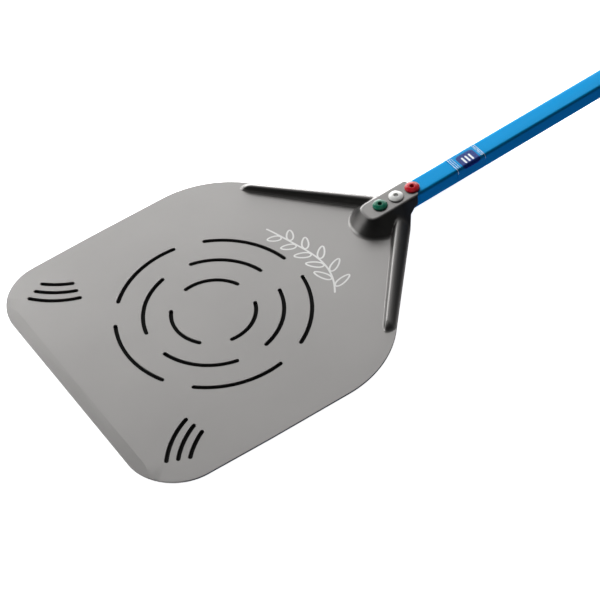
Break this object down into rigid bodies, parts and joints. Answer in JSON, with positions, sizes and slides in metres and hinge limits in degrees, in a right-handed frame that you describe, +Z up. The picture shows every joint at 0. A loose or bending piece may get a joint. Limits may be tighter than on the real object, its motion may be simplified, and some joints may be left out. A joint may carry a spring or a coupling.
{
  "type": "perforated pizza peel",
  "caption": "Perforated pizza peel with a round-shouldered blade, pressed ribs and a riveted blue tube handle.",
  "frame": {"origin": "on the flat underside of the blade, at the centre of the rings of slots", "axes": "+Y from the blade towards the handle's end, +Z up out of the blade's top face, X across the blade"},
  "size_m": [0.332, 1.0525, 0.0483],
  "materials": {
    "satin_aluminium": "satin",
    "blue_anodised": "satin",
    "rivet_enamel_front": "gloss",
    "rivet_enamel_middle": "gloss",
    "rivet_enamel_rear": "gloss",
    "mandrel_steel": "plain",
    "clear_film": "gloss",
    "black_polymer": "matt"
  },
  "bodies": {
    "root": {"blade": "satin_aluminium", "handle_tube": "blue_anodised", "rivet_front": "rivet_enamel_front", "rivet_middle": "rivet_enamel_middle", "rivet_rear": "rivet_enamel_rear", "mandrel_front": "mandrel_steel", "mandrel_middle": "mandrel_steel", "mandrel_rear": "mandrel_steel", "handle_label": "clear_film", "end_cap": "black_polymer"}
  },
  "joints": []
}
